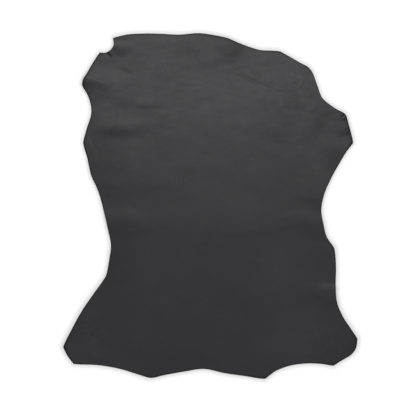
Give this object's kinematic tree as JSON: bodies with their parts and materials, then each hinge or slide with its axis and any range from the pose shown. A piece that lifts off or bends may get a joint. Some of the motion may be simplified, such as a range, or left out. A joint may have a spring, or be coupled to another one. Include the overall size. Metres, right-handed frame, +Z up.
{
  "type": "leather hide",
  "caption": "Whole tanned leather skin lying flat, grain side up, with a freehand cut outline and low folds.",
  "frame": {"origin": "middle of the cut outline, on the plane the flesh side rests on", "axes": "+X across the skin, +Y along the backbone towards the neck, +Z up, out of the grain side"},
  "size_m": [0.824, 0.968, 0.0074],
  "materials": {
    "leather": "dyed anthracite, soft satin grain side with a fine pebble"
  },
  "bodies": {
    "root": {"hide": "leather"}
  },
  "joints": []
}
